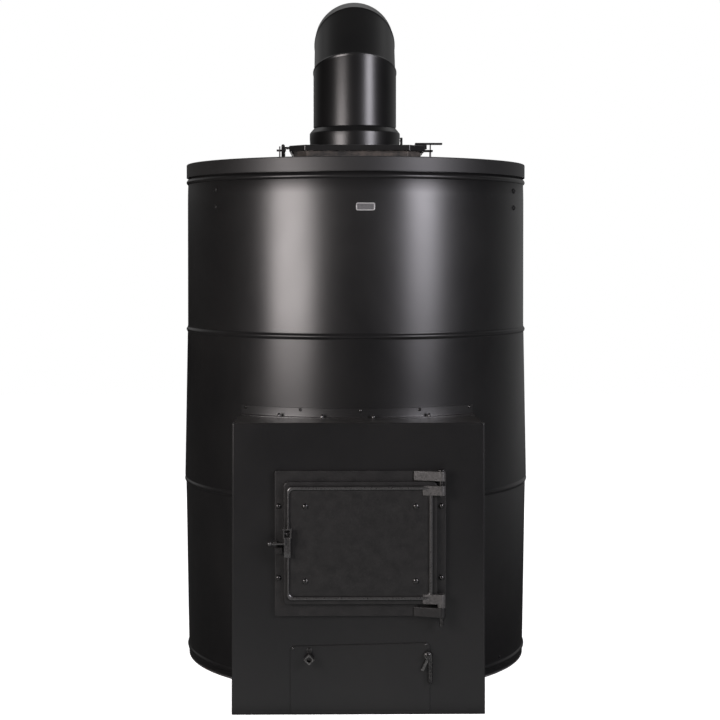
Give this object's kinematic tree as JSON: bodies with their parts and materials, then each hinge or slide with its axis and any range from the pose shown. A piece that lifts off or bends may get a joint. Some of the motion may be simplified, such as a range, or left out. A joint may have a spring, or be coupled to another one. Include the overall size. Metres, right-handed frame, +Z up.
{
  "type": "wood-burning sauna stove",
  "caption": "Black drum sauna stove with a hinged fire door on a feed neck, ash drawer, hinged steam hatch, flue damper and a segmented elbow.",
  "frame": {"origin": "on the floor, on the vertical axis of the drum", "axes": "+Z up, -Y to the front where the fire door is, +X to the viewer's right"},
  "size_m": [1.1088, 1.4526, 2.1745],
  "materials": {
    "black_paint": "satin heat-proof black paint",
    "cast_iron": "blackened sand casting",
    "plate_steel": "mill scale",
    "fasteners": "black oxide",
    "firebrick": "chamotte brick",
    "mineral_wool": "needled wool mat",
    "rope_seal": "braided sealing cord",
    "badge": "dark centre, bare metal rim"
  },
  "bodies": {
    "stove_body": {"casing_lower": "black_paint", "casing_middle": "black_paint", "casing_upper": "black_paint", "top_lid": "black_paint", "lid_skirt": "black_paint", "neck_left": "black_paint", "neck_right": "black_paint", "neck_top": "black_paint", "neck_flashing": "black_paint", "front_plate": "black_paint", "hatch_neck": "black_paint", "hatch_hinge_bracket": "black_paint", "flue_collar": "black_paint", "flue_pipe": "black_paint", "elbow_gore_1": "black_paint", "elbow_gore_2": "black_paint", "elbow_outlet": "black_paint", "door_frame": "cast_iron", "latch_keeper": "cast_iron", "fire_grate": "cast_iron", "stone_grate_bars": "cast_iron", "base_plate": "plate_steel", "inner_shell": "plate_steel", "firebox_left_wall": "plate_steel", "firebox_right_wall": "plate_steel", "firebox_back_wall": "plate_steel", "firebox_floor": "plate_steel", "floor_ledges": "plate_steel", "throat_roof": "plate_steel", "stone_deck": "plate_steel", "ash_runners": "plate_steel", "flashing_screws": "fasteners", "door_frame_bolts": "fasteners", "hinge_pins": "fasteners", "casing_side_screws": "fasteners", "hatch_hinge_pin": "fasteners", "hatch_stop_bolt": "fasteners", "firebricks_left": "firebrick", "firebricks_right": "firebrick", "firebricks_back": "firebrick", "insulation_mat": "mineral_wool", "badge_plate": "badge"},
    "fire_door": {"door_leaf": "cast_iron", "door_gasket": "rope_seal", "door_heat_shield": "plate_steel", "door_panel_bolts": "fasteners", "latch_pivot": "fasteners"},
    "latch": {"door_latch": "cast_iron"},
    "ash_drawer": {"ash_box": "plate_steel", "ash_front": "black_paint", "ash_pull": "fasteners", "ash_latch_stud": "fasteners"},
    "ash_latch": {"ash_latch_lever": "fasteners"},
    "steam_hatch": {"hatch_lid": "black_paint", "hatch_gasket": "rope_seal", "hatch_hinge_arm": "black_paint", "hatch_handle": "black_paint"},
    "flue_damper": {"damper_plate": "plate_steel", "damper_shaft": "plate_steel", "damper_handle": "black_paint"}
  },
  "joints": [
    {"name": "door_swing", "type": "hinge", "parent": "stove_body", "child": "fire_door", "pos_m": [0.2296, -0.781, 0.484], "axis": [0, 0, 1], "range_deg": [0, 130]},
    {"name": "latch_turn", "type": "hinge", "parent": "fire_door", "child": "latch", "pos_m": [-0.197, -0.793, 0.513], "axis": [0, 1, 0], "range_deg": [-15, 60]},
    {"name": "ash_slide", "type": "slide", "parent": "stove_body", "child": "ash_drawer", "axis": [0, -1, 0], "range_m": [0, 0.5]},
    {"name": "ash_latch_turn", "type": "hinge", "parent": "ash_drawer", "child": "ash_latch", "pos_m": [0.193, -0.765, 0.169], "axis": [0, 1, 0], "range_deg": [-90, 90]},
    {"name": "hatch_swing", "type": "hinge", "parent": "stove_body", "child": "steam_hatch", "pos_m": [-0.226, -0.25, 1.6175], "axis": [0, -1, 0], "range_deg": [0, 105]},
    {"name": "damper_turn", "type": "hinge", "parent": "stove_body", "child": "flue_damper", "pos_m": [0, 0.3, 1.65], "axis": [1, 0, 0], "range_deg": [0, 90]}
  ]
}
